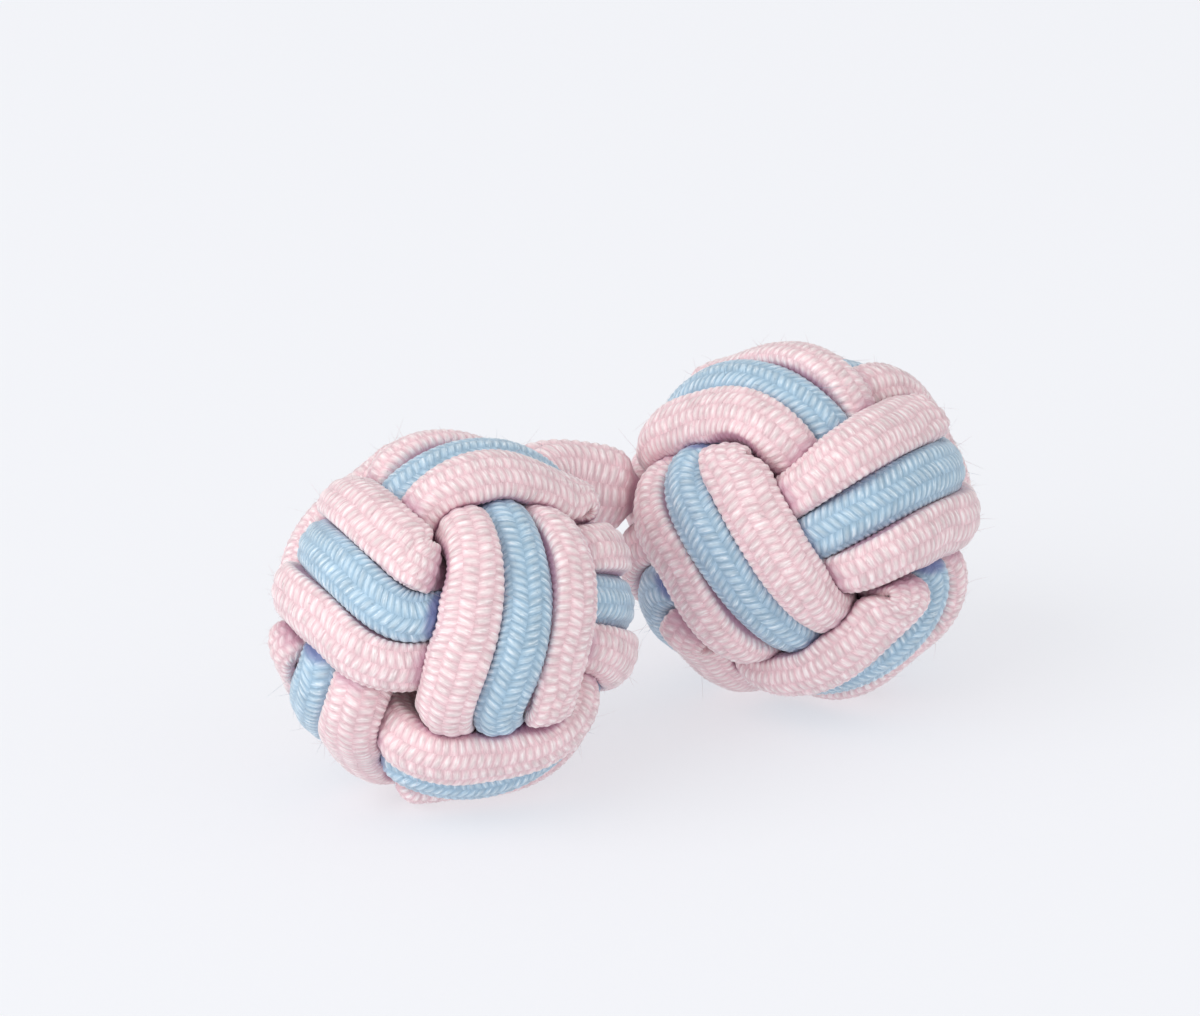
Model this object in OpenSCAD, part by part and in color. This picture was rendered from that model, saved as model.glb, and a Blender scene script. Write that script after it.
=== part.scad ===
// Silk knot cuff button: two round knots, each woven from three cords, on an elastic shank.

/* [Knots] */
// Diameter of each knot, measured over its cords
knot_d = 13; // [11:0.5:16]
// Clear space between the two knots
knot_gap = 2; // [1.5:0.25:6]
// Turn of the left knot about X, Y and Z
left_turn = [103, 5, -54]; // [-180:1:180]
// Turn of the right knot about X, Y and Z
right_turn = [-168, -79, -45]; // [-180:1:180]

/* [Cords] */
// Clear space between two cords that meet
cord_clearance = 0.04; // [0.02:0.01:0.1]

/* [Shank] */
// Thickness of the shank between the knots
shank_d = 3.2; // [2:0.1:3.6]
// Thickness of the elastic core that runs through the eye of each knot
core_d = 1; // [0.6:0.05:1.05]
// Diameter of the bead that holds the core inside a knot
stop_d = 2.4; // [1.6:0.1:2.6]
// Clear space between the shoulder of the shank and the knot
shoulder_clearance = 0.2; // [0.1:0.05:0.6]
// How far the shank keeps its direction where it leaves a knot
shank_lead = 1.4; // [1:0.1:3]

/* [Rest] */
// Roll of the whole button about X as it lies on a surface
lie_roll = 1.4; // [-20:0.1:20]
// Pitch of the whole button about Y as it lies on a surface
lie_pitch = -0.2; // [-20:0.1:20]

/* [Hidden] */

cord_sides = 8;
cord_rings = 144;
shank_sides = 12;
shank_steps = 10;
pink = [0.93, 0.80, 0.82];
blue = [0.64, 0.77, 0.86];

knot_r = knot_d / 2;
left_centre = [0, 0, 0];
right_centre = [knot_d + knot_gap, 0, 0];

// A cord goes four times from pole to pole and back while it goes three times round.
circuit = 4 * 360;
turns_per_wave = 3 / 4;

// Latitude of the path in degrees: its swing, how it sharpens the bends, and its lean.
lat_swing = 53.3;
lat_sharpen = 0.6;
lat_lean = 2.1;

// Columns of a cord: side angle in degrees, then the mid radius, the radial swing, and the lag
// in degrees, each with how much it differs towards the poles, then how flat the top is, then
// the half width and half height where the cord lies on top and where it is tucked under.
// All lengths are shares of the knot's radius.
SIDE = 0;
MID = 1;
MID_TILT = 2;
SWING = 3;
SWING_TILT = 4;
LAG = 5;
LAG_TILT = 6;
FLAT = 7;
TOP_W = 8;
TOP_H = 9;
TUCK_W = 10;
TUCK_H = 11;
pink_one = [-17, 0.712, -0.018, 0.285,  0.026,  4,  6.6, 0.39, 0.154, 0.0885, 0.0985, 0.0915];
blue_one = [  0, 0.792,      0, 0.118,      0, 11,    0, 0.12, 0.116, 0.0915, 0.102,  0.1075];
pink_two = [ 17, 0.712,  0.018, 0.285, -0.026,  4, -6.6, 0.39, 0.154, 0.0885, 0.0985, 0.0915];

function unit(v) = v / norm(v);

function between(low, high, share) = low + (high - low) * share;

// A point turned about X, then Y, then Z.
function turned(a, p) =
    let (
        about_x = [p.x, p.y * cos(a.x) - p.z * sin(a.x), p.y * sin(a.x) + p.z * cos(a.x)],
        about_y = [about_x.x * cos(a.y) + about_x.z * sin(a.y), about_x.y,
                   about_x.z * cos(a.y) - about_x.x * sin(a.y)]
    )
    [about_y.x * cos(a.z) - about_y.y * sin(a.z), about_y.x * sin(a.z) + about_y.y * cos(a.z), about_y.z];

// Ring of points round c, w across the heading and h outwards.
function ring(c, heading, out, w, h, sides) =
    let (
        up = unit(out - (out * heading) * heading),
        across = cross(heading, up)
    )
    [for (i = [0 : sides - 1]) c + w * cos(360 * i / sides) * across + h * sin(360 * i / sides) * up];

// Direction, from the knot's centre, of the path that the middle cord follows.
function path_direction(t) =
    let (
        azimuth = turns_per_wave * t,
        lat = lat_swing * cos(t) + lat_sharpen * cos(3 * t) + lat_lean * sin(t)
    )
    [cos(lat) * cos(azimuth), cos(lat) * sin(azimuth), sin(lat)];

function path_heading(t) = unit(path_direction(t + 0.01) - path_direction(t - 0.01));

function lag(cord, t) = cord[LAG] + cord[LAG_TILT] * cos(t);

// 1 where the cord lies on top and -1 where it is tucked under.
function weave(cord, t) = sin(2 * t + lag(cord, t));

function cord_radius(cord, t) =
    let (
        mid = cord[MID] + cord[MID_TILT] * cos(t),
        swing = cord[SWING] + cord[SWING_TILT] * cos(t),
        flatten = cord[FLAT] * cos(4 * t + 2 * lag(cord, t))
    )
    knot_r * (mid + swing * (weave(cord, t) + flatten));

function cord_centre(cord, t) =
    let (
        ahead = path_direction(t),
        side = cross(ahead, path_heading(t))
    )
    cord_radius(cord, t) * (cos(cord[SIDE]) * ahead + sin(cord[SIDE]) * side);

function cord_ring(cord, t) =
    let (
        c = cord_centre(cord, t),
        heading = unit(cord_centre(cord, t + 0.5) - cord_centre(cord, t - 0.5)),
        on_top = (1 + weave(cord, t)) / 2,
        w = knot_r * between(cord[TUCK_W], cord[TOP_W], on_top) - cord_clearance / 2,
        h = knot_r * between(cord[TUCK_H], cord[TOP_H], on_top) - cord_clearance / 2
    )
    ring(c, heading, c, w, h, cord_sides);

// All rings of one cord of a knot, in the lying button's directions.
function knot_cord(cord, turn, centre) =
    [for (i = [0 : cord_rings - 1])
        [for (p = cord_ring(cord, circuit * i / cord_rings)) as_it_lies(turned(turn, p) + centre)]];

function as_it_lies(p) = turned([lie_roll, lie_pitch, 0], p);

left_one = knot_cord(pink_one, left_turn, left_centre);
left_middle = knot_cord(blue_one, left_turn, left_centre);
left_two = knot_cord(pink_two, left_turn, left_centre);
right_one = knot_cord(pink_one, right_turn, right_centre);
right_middle = knot_cord(blue_one, right_turn, right_centre);
right_two = knot_cord(pink_two, right_turn, right_centre);

// The shank comes out of the eye of each knot, on the knot's own -Z axis.
left_eye = turned(left_turn, [0, 0, -1]);
right_eye = turned(right_turn, [0, 0, -1]);
shoulder = knot_r + shoulder_clearance;
shoulder_length = 0.5;
core_entry = 0.9;

// Stations from a knot's centre outwards: distance and radius.
bead_stations = [for (a = [-75 : 30 : 45]) stop_d / 2 * [sin(a), cos(a)]];
neck_stations = [
    [stop_d / 2, core_d / 2],
    [shoulder - core_entry, core_d / 2],
    [shoulder, 0.75 * shank_d / 2],
    [shoulder + shoulder_length, shank_d / 2]
];
stations = concat(bead_stations, neck_stations);
leave_at = shoulder + shoulder_length;

function eye_rings(centre, eye, heading) =
    [for (s = stations) ring(centre + s[0] * eye, heading, [0, 0, 1], s[1], s[1], shank_sides)];

// Cubic curve between the two eyes.
bend = [
    left_centre + leave_at * left_eye,
    left_centre + (leave_at + shank_lead) * left_eye,
    right_centre + (leave_at + shank_lead) * right_eye,
    right_centre + leave_at * right_eye
];

function bend_point(u) =
    pow(1 - u, 3) * bend[0] + 3 * u * pow(1 - u, 2) * bend[1]
        + 3 * u * u * (1 - u) * bend[2] + pow(u, 3) * bend[3];

bend_rings = [for (i = [1 : shank_steps - 1])
    let (
        u = i / shank_steps,
        heading = unit(bend_point(u + 0.01) - bend_point(u - 0.01))
    )
    ring(bend_point(u), heading, [0, 0, 1], shank_d / 2, shank_d / 2, shank_sides)];

function reversed(list) = [for (i = [len(list) - 1 : -1 : 0]) list[i]];

shank_rings = [for (r = concat(
        eye_rings(left_centre, left_eye, left_eye),
        bend_rings,
        reversed(eye_rings(right_centre, right_eye, -right_eye))
    )) [for (p = r) as_it_lies(p)]];

// The origin is under the middle of the whole button, on the surface that it lies on.
all_rings = concat(left_one, left_middle, left_two, right_one, right_middle, right_two, shank_rings);
all_points = [for (r = all_rings) each r];
xs = [for (p = all_points) p.x];
ys = [for (p = all_points) p.y];
zs = [for (p = all_points) p.z];
to_origin = [-(min(xs) + max(xs)) / 2, -(min(ys) + max(ys)) / 2, -min(zs)];

// Side faces between two rings of points, numbered a and b.
function band(a, b, sides) =
    [for (k = [0 : sides - 1])
        let (next = (k + 1) % sides)
        each [
            [a * sides + k, a * sides + next, b * sides + next],
            [a * sides + k, b * sides + next, b * sides + k]
        ]];

// A cord whose last ring meets its first.
module loop_cord(rings) {
    count = len(rings);
    sides = len(rings[0]);
    faces = [for (i = [0 : count - 1]) each band(i, (i + 1) % count, sides)];
    translate(to_origin)
        polyhedron([for (r = rings) each r], faces, convexity = 10);
}

// A tube closed by a flat face at each end.
module capped_tube(rings) {
    count = len(rings);
    sides = len(rings[0]);
    walls = [for (i = [0 : count - 2]) each band(i, i + 1, sides)];
    first_cap = [for (k = [sides - 1 : -1 : 0]) k];
    last_cap = [for (k = [0 : sides - 1]) (count - 1) * sides + k];
    translate(to_origin)
        polyhedron([for (r = rings) each r], concat([first_cap, last_cap], walls), convexity = 10);
}

module left_pink_one() { color(pink) loop_cord(left_one); }
module left_blue() { color(blue) loop_cord(left_middle); }
module left_pink_two() { color(pink) loop_cord(left_two); }
module right_pink_one() { color(pink) loop_cord(right_one); }
module right_blue() { color(blue) loop_cord(right_middle); }
module right_pink_two() { color(pink) loop_cord(right_two); }
module shank() { color(pink) capped_tube(shank_rings); }

left_pink_one();
left_blue();
left_pink_two();
right_pink_one();
right_blue();
right_pink_two();
shank();
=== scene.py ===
import math
import bpy
import bmesh
import numpy as np
from mathutils import Matrix, Vector


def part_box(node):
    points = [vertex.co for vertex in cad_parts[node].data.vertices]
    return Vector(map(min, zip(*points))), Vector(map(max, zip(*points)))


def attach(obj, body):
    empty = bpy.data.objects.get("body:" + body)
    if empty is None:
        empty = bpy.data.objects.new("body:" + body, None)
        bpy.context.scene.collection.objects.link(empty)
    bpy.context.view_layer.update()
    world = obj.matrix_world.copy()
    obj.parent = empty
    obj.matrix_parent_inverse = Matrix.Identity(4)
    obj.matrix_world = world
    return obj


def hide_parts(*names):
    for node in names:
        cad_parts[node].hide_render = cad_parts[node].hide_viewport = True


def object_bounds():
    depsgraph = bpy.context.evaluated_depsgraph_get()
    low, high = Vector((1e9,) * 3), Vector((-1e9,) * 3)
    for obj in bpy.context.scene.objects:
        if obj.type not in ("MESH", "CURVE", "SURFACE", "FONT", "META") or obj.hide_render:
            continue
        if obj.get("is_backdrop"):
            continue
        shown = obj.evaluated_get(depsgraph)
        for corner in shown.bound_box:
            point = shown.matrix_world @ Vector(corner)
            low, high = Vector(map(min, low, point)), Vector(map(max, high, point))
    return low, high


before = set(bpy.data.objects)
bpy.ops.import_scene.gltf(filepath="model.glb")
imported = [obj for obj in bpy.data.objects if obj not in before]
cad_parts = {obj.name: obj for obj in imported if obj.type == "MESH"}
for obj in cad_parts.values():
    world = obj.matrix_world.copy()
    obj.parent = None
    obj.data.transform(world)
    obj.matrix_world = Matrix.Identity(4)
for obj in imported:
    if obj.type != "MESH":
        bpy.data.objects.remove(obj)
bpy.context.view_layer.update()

mm = 0.001

# The knot, as the part's source has it. Lengths in millimetres, angles in degrees.
knot = {
    "radius": 6.5,
    "gap": 2.0,
    "leftTurn": (103, 5, -54),
    "rightTurn": (-168, -79, -45),
    "lie": (1.4, -0.2, 0),
    "circuit": 1440,          # four times from pole to pole and back
    "turnsPerWave": 0.75,     # three times round on the way
    "latSwing": 53.3,
    "latSharpen": 0.6,
    "latLean": 2.1,
    "samples": 5760,          # for measuring along a cord
    "cadRings": 144,
    "cadSides": 8,
    "cadStep": 0.5,           # degrees ahead and behind that its headings are taken from
    "cadClearance": 0.04,
}

# One row per cord: side angle, then mid radius, swing and lag with their tilt towards the
# poles, flatness, and the half width and half height on top and tucked under. Then its free
# growth towards either side, its say in the line to the cord beside it, and its braid: columns
# of stitches, mm from stitch to stitch, and the stitches that one climbs across its column.
cordShapes = {
    "pinkOne": {"side": -17, "mid": (0.712, -0.018), "swing": (0.285, 0.026), "lag": (4, 6.6),
                "flat": 0.39, "top": (0.154, 0.0885), "tuck": (0.0985, 0.0915),
                "swell": (1.08, 1.2), "say": 0.45, "columns": 10, "pitch": 0.33, "slant": 0.35},
    "blue": {"side": 0, "mid": (0.792, 0), "swing": (0.118, 0), "lag": (11, 0),
             "flat": 0.12, "top": (0.116, 0.0915), "tuck": (0.102, 0.1075),
             "swell": (1.35, 1.35), "say": 0.55, "columns": 10, "pitch": 0.3, "slant": 0.85},
    "pinkTwo": {"side": 17, "mid": (0.712, 0.018), "swing": (0.285, -0.026), "lag": (4, -6.6),
                "flat": 0.39, "top": (0.154, 0.0885), "tuck": (0.0985, 0.0915),
                "swell": (1.2, 1.08), "say": 0.45, "columns": 10, "pitch": 0.33, "slant": 0.35},
}

# How the soft cords fill the ball.
press = {
    "swellOut": 1.12,         # free growth outwards and towards the middle
    "swellIn": 1.8,
    "swellDive": 1.3,         # more growth ahead where a cord dives under its neighbours
    "swellFlank": 1.7,        # free growth of the lower flanks
    "flank": (0.3, 0.8),      # sine of the angle where a flank begins, and how far it fades in
    "crossing": (1.3, 1.12, 1.8),      # share of half width, top and bottom at which cords cross
    "heading": (0.5, 3, 6),   # degrees ahead and behind that a section's heading is taken from
    "beside": 40,             # degrees along the cord within which cords run side by side
    "squareness": 2.1,        # 2 is an ellipse, more is boxier
    "reach": 4.0,             # mm, how far off a neighbour is looked for
    "ringStep": 2.5,          # degrees along the cord between pressed sections
    "angles": 48,             # directions in each pressed section
    "passes": 8,
    "bendShare": 0.97,        # share of the way to where the cord's next turn begins
    "creaseShadeWidth": 0.2,       # share of a cord over which painted shade darkens a crease
    "topSpare": 0.5,          # keeps the tops of the cords out of the painted crease shade
}

# The braid: columns of stitches that slant one way and the other in turn.
braid = {
    "sides": 50,
    "rings": 1340,
    "hiddenRings": 0.45,      # how densely the rings lie where a cord is hidden
    "showing": (-0.9, 0.5),   # lift from which a cord shows, and how far that fades in
    "pitchLine": 1.3,         # half heights up where stitches keep their pitch round a bend
    "relief": 0.07,           # mm
    "trough": 0.6,            # share of the relief that lies inside the pressed surface
    "tuck": (0.96, 0.8),      # how far a stitch closes at its two ends, and how bluntly
    "wander": 0.04,           # share of the girth that the columns wander round the cord
    "wanderWaves": 0.75,
    "wanderShift": 80,        # degrees from cord to cord
}


def unit(v):
    return v / np.linalg.norm(v, axis=-1, keepdims=True)


def turnMatrix(angles):
    x, y, z = np.radians(angles)
    rx = np.array([[1, 0, 0], [0, np.cos(x), -np.sin(x)], [0, np.sin(x), np.cos(x)]])
    ry = np.array([[np.cos(y), 0, np.sin(y)], [0, 1, 0], [-np.sin(y), 0, np.cos(y)]])
    rz = np.array([[np.cos(z), -np.sin(z), 0], [np.sin(z), np.cos(z), 0], [0, 0, 1]])
    return rz @ ry @ rx


lie = turnMatrix(knot["lie"])
leftTurn = turnMatrix(knot["leftTurn"])
rightTurn = turnMatrix(knot["rightTurn"])
leftCentre = np.zeros(3)
rightCentre = np.array([2 * knot["radius"] + knot["gap"], 0, 0])


def pathDirection(t):
    azimuth = np.radians(knot["turnsPerWave"] * t)
    lat = np.radians(knot["latSwing"] * np.cos(np.radians(t))
                     + knot["latSharpen"] * np.cos(np.radians(3 * t))
                     + knot["latLean"] * np.sin(np.radians(t)))
    flat = np.cos(lat)
    return np.stack([flat * np.cos(azimuth), flat * np.sin(azimuth), np.sin(lat)], -1)


def weave(shape, t):      # 1 on top, -1 tucked under, and the term that flattens the top
    lag = shape["lag"][0] + shape["lag"][1] * np.cos(np.radians(t))
    return np.sin(np.radians(2 * t + lag)), np.cos(np.radians(4 * t + 2 * lag))


def pathHeading(t):
    return unit(pathDirection(t + 0.01) - pathDirection(t - 0.01))


def cordCentre(shape, t):
    ahead = pathDirection(t)
    side = np.cross(ahead, pathHeading(t))
    lift, flatten = weave(shape, t)
    tilt = np.cos(np.radians(t))
    mid = shape["mid"][0] + shape["mid"][1] * tilt
    swing = shape["swing"][0] + shape["swing"][1] * tilt
    r = knot["radius"] * (mid + swing * (lift + shape["flat"] * flatten))
    s = np.radians(shape["side"])
    return r[:, None] * (np.cos(s) * ahead + np.sin(s) * side)


def cordFrame(shape, t):      # centre, heading, across, up, half width, half height
    c = cordCentre(shape, t)
    heading = sum(cordCentre(shape, t + d) - cordCentre(shape, t - d) for d in press["heading"])
    heading = unit(heading)
    level = np.cross(pathHeading(t), c)      # keeps its way where a side cord turns on the spot
    across = unit(level - np.sum(level * heading, -1, keepdims=True) * heading)
    up = np.cross(across, heading)
    onTop = (1 + weave(shape, t)[0]) / 2
    w = knot["radius"] * (shape["tuck"][0] + (shape["top"][0] - shape["tuck"][0]) * onTop)
    h = knot["radius"] * (shape["tuck"][1] + (shape["top"][1] - shape["tuck"][1]) * onTop)
    return c, heading, across, up, w, h


def findOrigin():      # sets the formula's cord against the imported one
    t = np.arange(knot["cadRings"]) * knot["circuit"] / knot["cadRings"]
    shape = cordShapes["pinkOne"]
    c, _, _, _, w, h = cordFrame(shape, t)
    step = knot["cadStep"]
    heading = unit(cordCentre(shape, t + step) - cordCentre(shape, t - step))
    up = unit(c - np.sum(c * heading, -1, keepdims=True) * heading)
    across = np.cross(heading, up)
    a = np.arange(knot["cadSides"]) * 2 * np.pi / knot["cadSides"]
    inset = knot["cadClearance"] / 2
    w, h = (w - inset)[:, None, None], (h - inset)[:, None, None]
    local = (c[:, None] + w * np.cos(a)[None, :, None] * across[:, None]
             + h * np.sin(a)[None, :, None] * up[:, None])
    points = (local.reshape(-1, 3) @ leftTurn.T + leftCentre) @ lie.T
    low, high = (np.array(corner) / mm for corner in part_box("left_pink_one"))
    off = np.abs((high - low) - (points.max(0) - points.min(0))).max()
    print("cord formula and packed cord differ by", round(float(off), 4), "mm")
    return (low + high) / 2 - (points.min(0) + points.max(0)) / 2


toOrigin = findOrigin()


def placed(local, turn, centre):
    return (local @ turn.T + centre) @ lie.T + toOrigin


def squared(x, y):      # distance in units of a cord's own free section
    p = press["squareness"]
    return (np.abs(x) ** p + np.abs(y) ** p) ** (1 / p)


def pressCords():
    t = np.arange(0, knot["circuit"], press["ringStep"])
    a = np.arange(press["angles"]) * 2 * np.pi / press["angles"]
    shapes = list(cordShapes.values())
    frames = [cordFrame(shape, t) for shape in shapes]
    centres, headings, acrosses, ups = (np.concatenate([f[k] for f in frames]) for k in range(4))
    wide, tall = (np.concatenate([f[k] for f in frames]) for k in (4, 5))
    dive = 1 - np.sum(unit(centres) * ups, -1) ** 2
    crossWide, crossOut, crossIn = press["crossing"]
    flankStart, flankFade = press["flank"]
    flank = np.clip((flankStart - np.sin(a)) / flankFade, 0, 1)
    flank = flank * flank * (3 - 2 * flank)
    place = np.tile(t, len(frames))
    level = pathHeading(t)
    window = round(press["beside"] / press["ringStep"])
    reach = np.zeros((len(frames), len(t), len(a)))
    creaseShade = np.zeros_like(reach)
    for j, shape in enumerate(shapes):
        sideways = np.where(np.cos(a) > 0, shape["swell"][1], shape["swell"][0])
        sideways = sideways + (press["swellFlank"] - sideways) * flank
        for i in range(len(t)):
            k = j * len(t) + i
            apart = np.abs(place - t[i])
            apart = np.minimum(apart, knot["circuit"] - apart)
            near = np.linalg.norm(centres - centres[k], axis=1) < press["reach"]
            near &= apart > press["beside"]
            spoke = np.cos(a)[:, None] * acrosses[k] + np.sin(a)[:, None] * ups[k]
            upDown = np.where(np.sin(a) > 0, press["swellOut"] + press["swellDive"] * dive[k],
                              press["swellIn"])
            free = 1 / squared(np.cos(a) / (wide[k] * sideways), np.sin(a) / (tall[k] * upDown))
            run = centres[j * len(t):(j + 1) * len(t)]
            run = run[np.arange(i - window, i + window + 1) % len(t)] - centres[k]
            run = np.delete(run, window, axis=0)
            turn = np.sum(run * run, -1) / 2 / np.maximum(spoke @ run.T, 1e-6)
            free = np.minimum(free, press["bendShare"] * turn.min(axis=1))
            upDown = np.where(np.sin(a) > 0, crossOut, crossIn)
            section = 1 / np.hypot(np.cos(a) / (wide[k] * crossWide),
                                   np.sin(a) / (tall[k] * upDown))
            edge = np.full_like(free, 1e6)      # the upright plane between cords side by side
            for other in (j - 1, j + 1):
                if 0 <= other < len(frames):
                    beside = centres[other * len(t) + i]
                    across = unit(np.cross(level[i], centres[k] + beside))
                    gap = (beside - centres[k]) @ across
                    share = shape["say"] / (shape["say"] + shapes[other]["say"])
                    facing = np.maximum(np.sign(gap) * (spoke @ across), 1e-6)
                    edge = np.minimum(edge, abs(gap) * share / facing)

            def lead(r):      # how much nearer, cord for cord, the point is to its own cord
                off = centres[k] + r[:, None] * spoke
                off = off[:, None, :] - centres[near][None]
                x = np.sum(off * acrosses[near], -1) / (wide[near] * crossWide)
                y = np.sum(off * ups[near], -1)
                y = y / (tall[near] * np.where(y > 0, crossOut, crossIn))
                z = np.sum(off * headings[near], -1) / (wide[near] * crossWide)
                return np.sqrt(x * x + y * y + z * z).min(axis=1) - r / section

            inner, outer = np.zeros_like(free), free.copy()
            clear = lead(outer) > 0
            inner[clear] = outer[clear]
            for _ in range(press["passes"]):
                middle = (inner + outer) / 2
                inside = lead(middle) > 0
                inner = np.where(inside, middle, inner)
                outer = np.where(inside, outer, middle)
            reach[j, i] = np.minimum(inner, edge)
            # painted shade: the less room a point has to its neighbours, the more it takes the
            # crease colour
            spare = (edge - reach[j, i]) / free + press["topSpare"] * np.clip(np.sin(a), 0, 1)
            room = np.minimum(lead(reach[j, i]), spare)
            creaseShade[j, i] = np.clip(1 - room / press["creaseShadeWidth"], 0, 1)
    for values in (reach, creaseShade):      # soft passes take the steps out
        for axis in (1, 2, 1, 1):
            values[:] = (np.roll(values, 1, axis) + 2 * values + np.roll(values, -1, axis)) / 4
    return reach, creaseShade


def sampleGrid(values, t, a):      # bilinear and periodic both ways
    rows, columns = values.shape
    u = (t / press["ringStep"]) % rows
    v = (a / (2 * np.pi) * columns) % columns
    i, j = np.floor(u).astype(int) % rows, np.floor(v).astype(int) % columns
    fu, fv = u - np.floor(u), v - np.floor(v)
    i2, j2 = (i + 1) % rows, (j + 1) % columns
    return ((values[i, j] * (1 - fv) + values[i, j2] * fv) * (1 - fu)
            + (values[i2, j] * (1 - fv) + values[i2, j2] * fv) * fu)


def facetAngles(reach, t, wander):      # even steps of girth, so that the columns are alike
    fine = np.linspace(-np.pi / 2, 3 * np.pi / 2, 121)
    r = sampleGrid(reach, np.broadcast_to(t[:, None], (len(t), len(fine))),
                   np.broadcast_to(fine, (len(t), len(fine))))
    x, y = r * np.cos(fine), r * np.sin(fine)
    girth = np.cumsum(np.hypot(np.diff(x, axis=1), np.diff(y, axis=1)), axis=1)
    girth = np.concatenate([np.zeros((len(t), 1)), girth], 1) / girth[:, -1:]
    share = np.arange(braid["sides"]) / braid["sides"]
    return np.array([np.interp((share + w) % 1, g, fine) for g, w in zip(girth, wander)])


def stitchHeights(along, pitch, slant, columns, facets):      # 0 to 1, ring by ring
    side = np.arange(columns * facets)
    column = side // facets
    across = (side % facets) / facets - 0.5      # -0.5 to 0.5 in each column
    way = np.where(column % 2 == 0, 1.0, -1.0)
    q = along[:, None] / pitch + way * slant * across + 0.5 * (column % 2)
    close, blunt = braid["tuck"]
    return np.sin(np.pi * (q - np.floor(q))) * np.cos(np.pi * across[None, :] * close) ** blunt


def ringPlaces(shape, count):      # more rings where the cord shows
    t = np.linspace(0, knot["circuit"], knot["samples"] + 1)
    c, _, _, up, _, h = cordFrame(shape, t)
    lines = (c, c + braid["pitchLine"] * h[:, None] * up)
    steps = np.maximum(*(np.linalg.norm(np.diff(line, axis=0), axis=1) for line in lines))
    length = np.concatenate([[0], np.cumsum(steps)])
    lift = weave(shape, (t[1:] + t[:-1]) / 2)[0]
    start, fade = braid["showing"]
    hidden = braid["hiddenRings"]
    weight = steps * (hidden + (1 - hidden) * np.clip((lift - start) / fade, 0, 1))
    spent = np.concatenate([[0], np.cumsum(weight)])
    places = np.interp(np.arange(count) / count * spent[-1], spent, t)
    return places, np.interp(places, t, length), length[-1]


def gridMesh(name, points, creaseShade, closed, stitchUv, rowsApart=None):
    rings, sides = points.shape[:2]
    rows = rings if closed else rings - 1
    bm = bmesh.new()
    bmesh.ops.create_grid(bm, x_segments=sides, y_segments=rows, size=1)
    mesh = bpy.data.meshes.new(name)
    bm.to_mesh(mesh)
    bm.free()
    flat = np.empty(len(mesh.vertices) * 3)
    mesh.vertices.foreach_get("co", flat)
    flat = flat.reshape(-1, 3)
    k = np.rint((flat[:, 0] + 1) / 2 * sides).astype(int)
    i = np.rint((flat[:, 1] + 1) / 2 * rows).astype(int)
    swept = (points[i % rings, k % sides] * mm).astype(np.float32)
    mesh.vertices.foreach_set("co", swept.ravel())
    # the painted crease shade, kept on each point
    shade = mesh.attributes.new("creaseShade", "FLOAT", "POINT")
    shade.data.foreach_set("value", creaseShade[i % rings, k % sides].astype(np.float32))
    corners = np.empty(len(mesh.loops), dtype=np.int32)
    mesh.loops.foreach_get("vertex_index", corners)
    corners = corners.reshape(-1, 4)
    uv = stitchUv(i[corners], k[corners])
    mesh.uv_layers.new(name="braid").data.foreach_set("uv", uv.astype(np.float32).ravel())
    bm = bmesh.new()
    bm.from_mesh(mesh)
    if rowsApart:      # many short tubes in one mesh
        bm.faces.ensure_lookup_table()
        between = np.flatnonzero(i[corners].min(axis=1) % rowsApart == rowsApart - 1)
        bmesh.ops.delete(bm, geom=[bm.faces[f] for f in between], context="FACES_ONLY")
    bmesh.ops.remove_doubles(bm, verts=bm.verts, dist=1e-8)
    bmesh.ops.recalc_face_normals(bm, faces=bm.faces)
    for face in bm.faces:
        face.smooth = True
    bm.to_mesh(mesh)
    bm.free()
    piece = bpy.data.objects.new(name, mesh)
    bpy.context.scene.collection.objects.link(piece)
    return piece


def columnUv(facets, alongRing, pitch, slant):      # u counts stitches, v counts columns
    def stitchUv(i, k):
        column = k.min(axis=1) // facets
        x = (k - column[:, None] * facets) / facets - 0.5
        way = np.where(column % 2 == 0, 1.0, -1.0)[:, None]
        u = alongRing[i] / pitch + way * slant * x + 0.5 * (column % 2)[:, None]
        return np.stack([u, column[:, None] + x + 0.5], -1)
    return stitchUv


def sweepCord(shape, index, turn, centre):
    t, along, length = ringPlaces(shape, braid["rings"])
    c, heading, across, up, _, _ = cordFrame(shape, t)
    wave = np.radians(braid["wanderWaves"] * t + braid["wanderShift"] * index)
    wander = braid["wander"] * np.sin(wave)
    a = facetAngles(pressedReach[index], t, wander)
    spread = np.broadcast_to(t[:, None], a.shape)
    reach = sampleGrid(pressedReach[index], spread, a)
    creaseShade = sampleGrid(pressedCreaseShade[index], spread, a)
    pitch = length / round(length / shape["pitch"])
    facets = braid["sides"] // shape["columns"]
    heights = stitchHeights(along, pitch, shape["slant"], shape["columns"], facets)
    r = reach + braid["relief"] * (heights - braid["trough"])
    spoke = np.cos(a)[..., None] * across[:, None] + np.sin(a)[..., None] * up[:, None]
    points = placed(c[:, None] + r[..., None] * spoke, turn, centre)
    out = placed(c[:, None] + (r[..., None] + 1) * spoke, turn, centre) - points
    ahead = placed(c + heading, turn, centre) - placed(c, turn, centre)
    lift = weave(shape, t)[0]
    uv = columnUv(facets, np.append(along, length), pitch, shape["slant"])
    return {"points": points, "out": out, "ahead": ahead, "creaseShade": creaseShade, "lift": lift,
            "uv": uv, "length": length}


# Loose fibre ends that stand off the cords.
fuzz = {
    "perCord": 500,
    "length": (0.08, 0.42),   # mm
    "thick": 0.006,           # mm
    "taper": (1.1, 0.8),      # thickness at the root, and how much of it is lost to the tip
    "corners": (0, 2.1, 4.2),      # radians round a fibre
    "steps": 7,
    "lean": (0.7, 1.5),       # radians that a fibre leans over
    "curl": 1.5,
    "seat": 0.02,             # mm that a root sits in its cord
    "lift": -0.2,             # weave lift from which a cord has fuzz
    "facing": -0.1,           # and how far down its flanks
    "clearOfTable": 1.3,      # mm above the table where the fuzz begins
}


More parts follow.
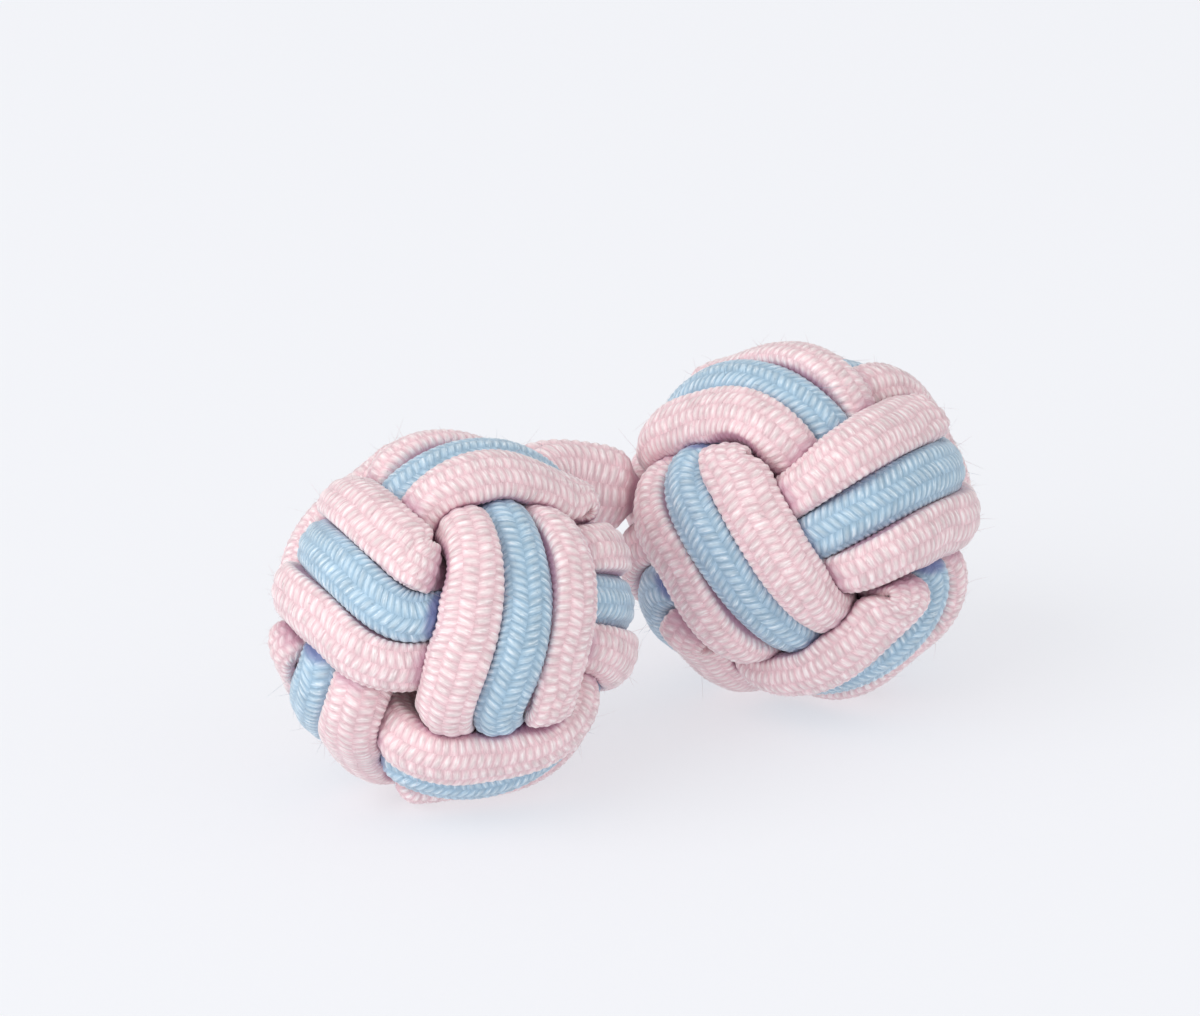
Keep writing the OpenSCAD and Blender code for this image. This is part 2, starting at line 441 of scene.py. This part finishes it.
def growFuzz(name, swept, seed, material):
    rng = np.random.default_rng(seed)
    rings, sides = swept["points"].shape[:2]
    weight = np.clip(1 - swept["creaseShade"], 0, 1) * (swept["lift"][:, None] > fuzz["lift"])
    weight *= np.sin(np.arange(sides) / sides * 2 * np.pi - np.pi / 2)[None] > fuzz["facing"]
    weight *= swept["points"][..., 2] > fuzz["clearOfTable"]
    chosen = rng.choice(rings * sides, fuzz["perCord"], p=(weight / weight.sum()).ravel())
    i, k = np.unravel_index(chosen, (rings, sides))
    root, out, ahead = swept["points"][i, k], swept["out"][i, k], swept["ahead"][i]
    across = unit(np.cross(out, ahead))
    turn = rng.uniform(0, 2 * np.pi, len(i))[:, None]
    lean = rng.uniform(*fuzz["lean"], len(i))[:, None]
    flat = np.cos(turn) * ahead + np.sin(turn) * across
    start = unit(np.cos(lean) * out + np.sin(lean) * flat)
    bend = rng.normal(0, fuzz["curl"], (len(i), 3))
    low, high = fuzz["length"]
    length = (low + (high - low) * rng.random(len(i)) ** 3)[:, None]
    side = unit(np.cross(start, bend))
    third = unit(np.cross(start, side))
    full, lost = fuzz["taper"]
    rows = []
    for step in range(fuzz["steps"]):
        s = step / (fuzz["steps"] - 1)
        spine = root + length * (s * start + s * s * bend) - fuzz["seat"] * out
        thick = 0 if step in (0, fuzz["steps"] - 1) else fuzz["thick"] * (full - lost * s)
        rows.append(np.stack([spine + thick * (math.cos(b) * side + math.sin(b) * third)
                              for b in fuzz["corners"]], 1))
    points = np.stack(rows, 1).reshape(-1, 3, 3)
    whole = np.zeros(len(points) + 1)
    piece = gridMesh(name, points, np.zeros(points.shape[:2]), False,
                     columnUv(3, whole, 1, 0), rowsApart=fuzz["steps"])
    piece.data.materials.append(material)
    return piece


# The shank: a plain braided cord between the eyes of the knots, with its core and beads.
# Lengths in millimetres, as the source has them.
shank = {
    "d": 3.2,
    "core": 1.0,
    "bead": 2.4,
    "beadSteps": range(-90, 61, 15),      # degrees round the bead
    "shoulderGap": 0.2,
    "shoulder": 0.5,
    "shoulderShape": ((0.6, 0.8), (0.3, 1.3), (0, 1.5)),      # how far in, and the radius there
    "entry": 0.9,
    "lead": 1.4,
    "bendSteps": 22,
    "softPasses": 6,
    "columns": 12,
    "facets": 6,
    "rings": 300,
    "pitch": 0.33,
    "slant": 0.35,
    "relief": 0.08,
    "trough": 0.8,
    "creaseShadeFrom": 1.3,        # how thin a stretch starts to take the painted shade of the crease colour
}


def shankRoute():      # evenly spaced centres, and the radius at each
    reach = knot["radius"] + shank["shoulderGap"]
    leave = reach + shank["shoulder"]
    beadR = shank["bead"] / 2
    stations = [(beadR * math.sin(math.radians(a)), beadR * math.cos(math.radians(a)))
                for a in shank["beadSteps"]]
    stations.append((reach - shank["entry"], shank["core"] / 2))
    stations += [(reach - depth, r) for depth, r in shank["shoulderShape"]]
    stations.append((leave, shank["d"] / 2))
    places = [leftCentre, rightCentre]
    eyes = [turn @ np.array([0, 0, -1.0]) for turn in (leftTurn, rightTurn)]
    ends = [[(c + d * e, r) for d, r in stations] for c, e in zip(places, eyes)]
    bend = [places[0] + leave * eyes[0], places[0] + (leave + shank["lead"]) * eyes[0],
            places[1] + (leave + shank["lead"]) * eyes[1], places[1] + leave * eyes[1]]
    route = list(ends[0])
    for u in np.linspace(0, 1, shank["bendSteps"])[1:-1]:
        p = ((1 - u) ** 3 * bend[0] + 3 * u * (1 - u) ** 2 * bend[1]
             + 3 * u * u * (1 - u) * bend[2] + u ** 3 * bend[3])
        route.append((p, shank["d"] / 2))
    route += ends[1][::-1]
    centres = np.array([p for p, r in route])
    radii = np.array([r for p, r in route])
    length = np.concatenate([[0], np.cumsum(np.linalg.norm(np.diff(centres, axis=0), axis=1))])
    s = np.linspace(0, length[-1], shank["rings"])
    evenly = np.stack([np.interp(s, length, centres[:, k]) for k in range(3)], -1)
    return s, evenly, np.interp(s, length, radii)


def buildShank(material):
    s, c, radius = shankRoute()
    heading = unit(np.gradient(c, axis=0))
    for _ in range(shank["softPasses"]):
        heading[1:-1] = unit(heading[:-2] + 2 * heading[1:-1] + heading[2:])
    upright = np.array([0, 0, 1.0])
    up = unit(upright - np.sum(upright * heading, -1, keepdims=True) * heading)
    across = np.cross(heading, up)
    sides = shank["columns"] * shank["facets"]
    a = np.arange(sides) * 2 * np.pi / sides
    thick = radius / (shank["d"] / 2)
    relief = shank["relief"] * np.clip(thick, 0, 1) ** 2
    heights = stitchHeights(s, shank["pitch"], shank["slant"], shank["columns"], shank["facets"])
    r = radius[:, None] + relief[:, None] * (heights - shank["trough"])
    r[0] = r[-1] = 0      # closes both ends
    spoke = np.cos(a)[None, :, None] * across[:, None] + np.sin(a)[None, :, None] * up[:, None]
    points = (c[:, None] + r[..., None] * spoke) @ lie.T + toOrigin
    # painted shade: the thinner stretches inside the knots take the crease colour
    creaseShade = np.broadcast_to(np.clip(shank["creaseShadeFrom"] - thick, 0, 1)[:, None], r.shape)
    uv = columnUv(shank["facets"], s, shank["pitch"], shank["slant"])
    piece = gridMesh("braidedShank", points, creaseShade, False, uv)
    piece.data.materials.append(material)
    return piece


def linear(code):      # sRGB hex to linear
    parts = [int(code[i:i + 2], 16) / 255 for i in (1, 3, 5)]
    return [p / 12.92 if p <= 0.04045 else ((p + 0.055) / 1.055) ** 2.4 for p in parts] + [1]


def addNode(tree, kind, settings=None, inputs=None, links=None):
    node = tree.nodes.new("ShaderNode" + kind)
    for key, value in (settings or {}).items():
        setattr(node, key, value)
    for key, value in (inputs or {}).items():
        node.inputs[key].default_value = value
    for key, socket in (links or {}).items():
        tree.links.new(socket, node.inputs[key])
    return node


# Rayon thread braided over an elastic core: silky, with a soft sheen on every stitch. Its colour
# carries a painted highlight on each stitch's back and painted shade between the stitches and in
# the creases.
cordFinish = {
    # ridgeHighlight is a painted highlight on each stitch's back, grooveShade painted shade
    # between stitches
    # the crease colours are painted shade for the creases between cords
    "pink": {"ridgeHighlight": "#FAE8E8", "body": "#F3D4D8", "grooveShade": "#EDC6CC", "creaseShade": "#BF87A4",
             "glint": "#FFFAF9"},
    "blue": {"ridgeHighlight": "#C8DEEC", "body": "#AECBDF", "grooveShade": "#9BBBD2", "creaseShade": "#5A60A0",
             "glint": "#EDF6FC"},
    "fibres": (3.4, 1.4, 1),      # streaks over and along a stitch, coarser than the real ones
    "fibreDepth": 0.03,       # mm
    "cloud": 0.9,             # mm, soft patches of tone
    "grooveShadeTo": 0.05,         # stitch heights where the painted groove shade ends and the body's colour lies
    "bodyAt": 0.5,
    "tone": (0.91, 1.05),     # lightness from stitch to stitch, fibre to fibre, patch to patch
    "fibreTone": (0.87, 1.09),
    "cloudTone": (0.96, 1.03),
    "glintFrom": (0.54, 0.7),      # brightest fibres, which take a painted highlight nearly white
    "glint": 0.7,
    "creaseShadeFrom": 0.3,        # how deep a crease starts to take its painted shade colour, and the most it takes
    "creaseShade": 0.8,
    "roughness": 0.42,
    "sheen": 0.35,
    "sheenRoughness": 0.4,
}


def braidedRayon(name, colours):
    material = bpy.data.materials.new(name)
    material.use_nodes = True
    tree = material.node_tree
    shader = tree.nodes["Principled BSDF"]
    uv = addNode(tree, "UVMap", {"uv_map": "braid"})
    split = addNode(tree, "SeparateXYZ", links={0: uv.outputs[0]})

    def swell(socket):      # 0 at a stitch's edge, 1 on its back
        part = addNode(tree, "Math", {"operation": "FRACT"}, links={0: socket})
        half = addNode(tree, "Math", {"operation": "MULTIPLY"}, {1: math.pi}, {0: part.outputs[0]})
        return addNode(tree, "Math", {"operation": "SINE"}, links={0: half.outputs[0]}).outputs[0]

    def spread(socket, fromLow, fromHigh, low, high):
        ends = {"From Min": fromLow, "From Max": fromHigh, "To Min": low, "To Max": high}
        return addNode(tree, "MapRange", {}, ends, {"Value": socket}).outputs[0]

    def times(a, b):
        return addNode(tree, "Math", {"operation": "MULTIPLY"}, links={0: a, 1: b}).outputs[0]

    height = times(swell(split.outputs[0]), spread(swell(split.outputs[1]), 0, 0.9, 0.3, 1))
    # each stitch has its own tone and its own run of fibres
    row = addNode(tree, "Math", {"operation": "FLOOR"}, links={0: split.outputs[0]})
    column = addNode(tree, "Math", {"operation": "FLOOR"}, links={0: split.outputs[1]})
    cell = addNode(tree, "CombineXYZ", links={0: row.outputs[0], 1: column.outputs[0]})
    tone = addNode(tree, "TexWhiteNoise", {"noise_dimensions": "2D"},
                   links={"Vector": cell.outputs[0]})
    stretch = addNode(tree, "VectorMath", {"operation": "MULTIPLY"},
                      {1: cordFinish["fibres"]}, {0: uv.outputs[0]})
    shift = addNode(tree, "VectorMath", {"operation": "SCALE"}, {"Scale": 20},
                    {0: tone.outputs["Color"]})
    fibrePlace = addNode(tree, "VectorMath", {"operation": "ADD"},
                         links={0: stretch.outputs[0], 1: shift.outputs[0]})
    fibre = addNode(tree, "TexNoise", {"noise_dimensions": "2D"},
                    {"Scale": 1.0, "Detail": 2.0, "Roughness": 0.6},
                    {"Vector": fibrePlace.outputs[0]})
    place = addNode(tree, "TexCoord")
    cloud = addNode(tree, "TexNoise", {}, {"Scale": 1 / (cordFinish["cloud"] * mm), "Detail": 3.0},
                    {"Vector": place.outputs["Object"]})
    # painted shade in the grooves between stitches and a painted highlight on their backs, by
    # stitch height
    ramp = addNode(tree, "ValToRGB", links={0: height})
    stops = ramp.color_ramp.elements
    stops[0].position, stops[0].color = cordFinish["grooveShadeTo"], linear(colours["grooveShade"])
    stops[1].position, stops[1].color = 1.0, linear(colours["ridgeHighlight"])
    middle = stops.new(cordFinish["bodyAt"])
    middle.color = linear(colours["body"])
    shade = times(times(spread(tone.outputs[0], 0, 1, *cordFinish["tone"]),
                        spread(fibre.outputs[0], 0.3, 0.7, *cordFinish["fibreTone"])),
                  spread(cloud.outputs[0], 0.3, 0.7, *cordFinish["cloudTone"]))
    tinted = addNode(tree, "VectorMath", {"operation": "SCALE"},
                     links={0: ramp.outputs[0], "Scale": shade})
    # painted highlight: glints on the brightest fibres near the stitch backs
    shine = spread(times(fibre.outputs[0], spread(height, 0, 1, 0.8, 1)),
                   *cordFinish["glintFrom"], 0, cordFinish["glint"])
    glint = addNode(tree, "Mix", {"data_type": "RGBA"}, {7: linear(colours["glint"])},
                    {0: shine, 6: tinted.outputs[0]})
    # painted shade: the crease colour is mixed in where cords press close together
    creaseShade = addNode(tree, "Attribute", {"attribute_name": "creaseShade"})
    creaseShadeMix = addNode(tree, "MapRange", {"interpolation_type": "SMOOTHSTEP"},
                   {"From Min": cordFinish["creaseShadeFrom"], "From Max": 1.0,
                    "To Min": 0.0, "To Max": cordFinish["creaseShade"]},
                   {"Value": creaseShade.outputs["Fac"]})
    colour = addNode(tree, "Mix", {"data_type": "RGBA"}, {7: linear(colours["creaseShade"])},
                     {0: creaseShadeMix.outputs[0], 6: glint.outputs[2]})
    tree.links.new(colour.outputs[2], shader.inputs["Base Color"])
    bump = addNode(tree, "Bump", {}, {"Strength": 1.0, "Distance": cordFinish["fibreDepth"] * mm},
                   {"Height": fibre.outputs[0]})
    tree.links.new(bump.outputs[0], shader.inputs["Normal"])
    shader.inputs["Roughness"].default_value = cordFinish["roughness"]
    shader.inputs["Sheen Weight"].default_value = cordFinish["sheen"]
    shader.inputs["Sheen Roughness"].default_value = cordFinish["sheenRoughness"]
    return material


# View: the photograph's scale and the place of the left knot in it.
view = {
    "elevation": 22,
    "bearing": 35.5,          # how far the camera stands off the button's own -Y
    "pixelsPerMm": 28.6,
    "width": 1200,
    "height": 1016,
    "leftKnot": (453, 617),
    "distance": 420,          # mm
    "sensor": 36,             # mm
    "clip": (0.01, 20),       # m
}


def setCamera(target):
    el, b = math.radians(view["elevation"]), math.radians(view["bearing"])
    right = np.array([math.cos(b), -math.sin(b), 0])
    forward = np.array([math.sin(b) * math.cos(el), math.cos(b) * math.cos(el), -math.sin(el)])
    up = np.cross(right, forward)
    dx = (view["width"] / 2 - view["leftKnot"][0]) / view["pixelsPerMm"]
    dy = (view["leftKnot"][1] - view["height"] / 2) / view["pixelsPerMm"]
    place = (target + right * dx + up * dy - forward * view["distance"]) * mm
    data = bpy.data.cameras.new("camera")
    camera = bpy.data.objects.new("camera", data)
    bpy.context.scene.collection.objects.link(camera)
    data.sensor_width = view["sensor"]
    data.lens = view["sensor"] * view["distance"] * view["pixelsPerMm"] / view["width"]
    data.clip_start, data.clip_end = view["clip"]
    axes = np.stack([right, up, -forward, place], 1)
    camera.matrix_world = Matrix([list(row) for row in axes] + [[0, 0, 0, 1]])
    bpy.context.scene.camera = camera
    return right, forward


# White light table in a soft box, with the key light at the left in front.
studio = {
    "floor": "#9FA0A3",
    "floorHalf": 3,           # m
    "floorRoughness": 0.9,
    "glow": 0.57,             # the table's own light
    "glowColour": "#FAFBFF",
    "world": 0.72,
    "worldColour": (0.98, 0.985, 1.0, 1),
    "key": {"way": (-0.9, -0.65, 0.75), "size": 0.5, "watts": 1.35},
    "fill": {"way": (1.0, -0.3, 0.8), "size": 0.5, "watts": 0.2},
    "lampDistance": 0.5,      # m
}


def setStage(right, forward):
    bm = bmesh.new()
    bmesh.ops.create_grid(bm, x_segments=1, y_segments=1, size=studio["floorHalf"])
    mesh = bpy.data.meshes.new("floor")
    bm.to_mesh(mesh)
    bm.free()
    mesh.transform(Matrix.Translation((0, 0, min(0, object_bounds()[0][2]))))
    floor = bpy.data.objects.new("floor", mesh)
    bpy.context.scene.collection.objects.link(floor)
    paper = bpy.data.materials.new("mattPaper")
    paper.use_nodes = True
    shader = paper.node_tree.nodes["Principled BSDF"]
    shader.inputs["Base Color"].default_value = linear(studio["floor"])
    shader.inputs["Roughness"].default_value = studio["floorRoughness"]
    shader.inputs["Emission Color"].default_value = linear(studio["glowColour"])
    shader.inputs["Emission Strength"].default_value = studio["glow"]
    mesh.materials.append(paper)
    floor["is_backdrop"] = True
    world = bpy.data.worlds.new("softBox")
    world.use_nodes = True
    sky = world.node_tree.nodes["Background"]
    sky.inputs["Color"].default_value = studio["worldColour"]
    sky.inputs["Strength"].default_value = studio["world"]
    bpy.context.scene.world = world
    flat = unit(np.array([forward[0], forward[1], 0]))
    for name in ("key", "fill"):
        lamp = studio[name]
        data = bpy.data.lights.new(name, "AREA")
        data.shape, data.size, data.energy = "SQUARE", lamp["size"], lamp["watts"]
        x, y, z = lamp["way"]      # to the right, away from the camera and up
        spot = Vector(unit(x * right + y * flat + z * np.array([0, 0, 1.0])))
        spot *= studio["lampDistance"]
        light = bpy.data.objects.new(name, data)
        bpy.context.scene.collection.objects.link(light)
        light.location = spot
        light.rotation_euler = (-spot).to_track_quat("-Z", "Y").to_euler()
    bpy.context.scene.view_settings.view_transform = "Standard"


pressedReach, pressedCreaseShade = pressCords()
print("cords pressed together")
rayon = {"pink": braidedRayon("braidedPinkRayon", cordFinish["pink"]),
         "blue": braidedRayon("braidedBlueRayon", cordFinish["blue"])}
print("materials made")

sides = (("left", leftTurn, leftCentre), ("right", rightTurn, rightCentre))
cords = (("pinkOne", "pink_one", "pink"), ("blue", "blue", "blue"),
         ("pinkTwo", "pink_two", "pink"))
for s, (side, turn, centre) in enumerate(sides):
    for c, (shapeName, node, colour) in enumerate(cords):
        pieceName = side + shapeName[0].upper() + shapeName[1:]
        swept = sweepCord(cordShapes[shapeName], c, turn, centre)
        cord = gridMesh(pieceName + "Cord", swept["points"], swept["creaseShade"], True, swept["uv"])
        cord.data.materials.append(rayon[colour])
        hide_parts(side + "_" + node)
        hairs = growFuzz(pieceName + "Fuzz", swept, 10 * s + c, rayon[colour])
        for piece in (cord, hairs):
            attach(piece, "root")
        print(pieceName, round(swept["length"], 1), "mm,", len(cord.data.polygons), "and",
              len(hairs.data.polygons), "faces")

shankPiece = buildShank(rayon["pink"])
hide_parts("shank")
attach(shankPiece, "root")
print("shank", len(shankPiece.data.polygons), "faces")

right, forward = setCamera(leftCentre @ lie.T + toOrigin)
setStage(right, forward)
print("camera, table and lights set")
